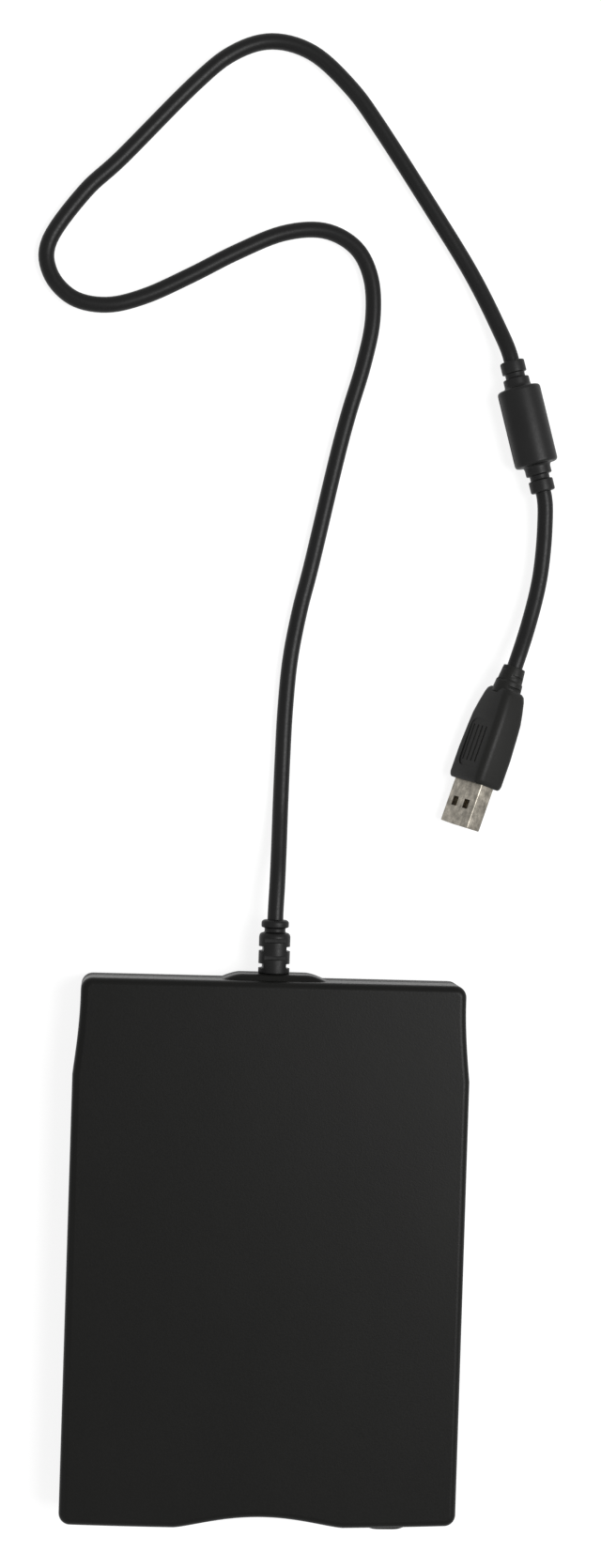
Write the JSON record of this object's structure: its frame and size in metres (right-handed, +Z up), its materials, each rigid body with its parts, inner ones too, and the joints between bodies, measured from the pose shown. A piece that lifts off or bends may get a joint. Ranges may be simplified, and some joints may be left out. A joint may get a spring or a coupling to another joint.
{
  "type": "external floppy disk drive",
  "caption": "Flat black external floppy disk drive with front slot, eject button, working disk loader, and a cord with ferrite bead and flat plug.",
  "frame": {"origin": "on the surface the drive stands on, under the middle of the box of the drive and its button", "axes": "+Z up, -Y out of the slot, +Y towards the cord's exit, +X to the side the eject button is on"},
  "size_m": [0.1379, 0.3931, 0.0176],
  "materials": {
    "black_case": "fine moulded grain",
    "black_case_low": "fine moulded grain",
    "black_panel": "satin",
    "feet_rubber": "matte",
    "steel_screw": "plated",
    "lamp_window": "clear tint",
    "lamp": "moulded",
    "boot_rubber": "satin",
    "cord_pvc": "satin",
    "wire_red": "satin",
    "board_green": "solder mask",
    "chip_black": "moulded",
    "flat_cable": "film",
    "zinc_steel": "zinc coated",
    "zinc_steel_lid": "zinc coated",
    "switch_black": "moulded",
    "brass_bush": "sintered",
    "lamination": "lacquered",
    "copper_wire": "enamelled wire",
    "magnet": "bonded magnet",
    "ground_steel": "ground",
    "hub_grey": "turned",
    "motor_can": "plated",
    "carriage_plastic": "glass filled",
    "head_black": "polished",
    "arm_steel": "stamped",
    "spring_steel": "drawn wire",
    "cage_steel": "stamped",
    "slide_steel": "stamped",
    "button_black": "satin",
    "door_black": "satin",
    "bead_black": "satin",
    "ferrite": "sintered",
    "grip_black": "fine moulded grain",
    "shell_steel": "nickel plated",
    "tongue_white": "moulded",
    "contact_gold": "gold plated"
  },
  "bodies": {
    "housing": {"top_cover": "black_case", "bottom_cover": "black_case_low", "front_bezel": "black_panel", "rubber_feet": "feet_rubber", "case_screws": "steel_screw", "lamp_window": "lamp_window", "activity_lamp": "lamp", "cable_boot": "boot_rubber", "cord_inner": "cord_pvc", "cord_wires": "wire_red", "usb_board": "board_green", "usb_parts": "chip_black", "ribbon_cable": "flat_cable", "chassis": "zinc_steel", "shield_lid": "zinc_steel_lid", "chassis_screws": "steel_screw", "main_board": "board_green", "board_parts": "chip_black", "sense_switches": "switch_black", "spindle_bush": "brass_bush", "stator_core": "lamination", "stator_coils": "copper_wire", "stepper_motor": "motor_can", "guide_rods": "ground_steel", "track_sensor": "switch_black", "slide_springs": "spring_steel", "lever_post": "ground_steel", "lever_spring": "spring_steel", "door_spring": "spring_steel", "cord_main": "cord_pvc", "ferrite_cover": "bead_black", "ferrite_core": "ferrite", "bead_cord": "cord_pvc", "cord_tail": "cord_pvc", "plug_grip": "grip_black", "plug_shell": "shell_steel", "plug_tongue": "tongue_white", "plug_contacts": "contact_gold"},
    "slide": {"slide_plate": "slide_steel", "eject_button": "button_black"},
    "cage": {"disk_cage": "cage_steel"},
    "spindle": {"rotor_cup": "zinc_steel_lid", "rotor_magnet": "magnet", "spindle_shaft": "ground_steel", "spindle_hub": "hub_grey", "drive_pin": "ground_steel"},
    "screw": {"lead_screw": "ground_steel"},
    "carriage": {"head_carriage": "carriage_plastic", "lower_head": "head_black", "arm_pin": "ground_steel"},
    "arm": {"upper_arm": "arm_steel", "upper_head": "head_black", "arm_spring": "spring_steel"},
    "lever": {"shutter_lever": "arm_steel"},
    "door": {"dust_door": "door_black"}
  },
  "joints": [
    {"name": "load_slide", "type": "slide", "parent": "housing", "child": "slide", "axis": [0, -1, 0], "range_m": [0, 0.004], "deforming": ["slide_springs"]},
    {"name": "cage_drop", "type": "slide", "parent": "housing", "child": "cage", "axis": [0, 0, -1], "range_m": [0, 0.002]},
    {"name": "head_seek", "type": "slide", "parent": "housing", "child": "carriage", "axis": [0, -1, 0], "range_m": [0, 0.0148]},
    {"name": "arm_lower", "type": "hinge", "parent": "carriage", "child": "arm", "pos_m": [0, 0.05114, 0.0106], "axis": [1, 0, 0], "range_deg": [0, 7.2], "deforming": ["arm_spring"]},
    {"name": "lever_turn", "type": "hinge", "parent": "housing", "child": "lever", "pos_m": [0.03, 0.03664, 0.0096], "axis": [0, 0, 1], "range_deg": [-50, 0], "deforming": ["lever_spring"]},
    {"name": "spindle_spin", "type": "hinge", "parent": "housing", "child": "spindle", "pos_m": [0, -0.01836, 0.005], "axis": [0, 0, 1], "continuous": true},
    {"name": "screw_turn", "type": "hinge", "parent": "housing", "child": "screw", "pos_m": [-0.024, 0.04064, 0.009], "axis": [0, 1, 0], "range_deg": [0, 1777]},
    {"name": "door_swing", "type": "hinge", "parent": "housing", "child": "door", "pos_m": [0, -0.06326, 0.01375], "axis": [1, 0, 0], "range_deg": [0, 85], "stiffness_Nm_per_rad": 0.0005, "deforming": ["door_spring"]}
  ],
  "couplings": [
    {"joint": "cage_drop", "follows": "load_slide", "ratio": 0.5},
    {"joint": "arm_lower", "follows": "load_slide", "rad_per_m": 31.41},
    {"joint": "lever_turn", "follows": "load_slide", "rad_per_m": -218.16},
    {"joint": "screw_turn", "follows": "head_seek", "rad_per_m": 2094.4}
  ]
}
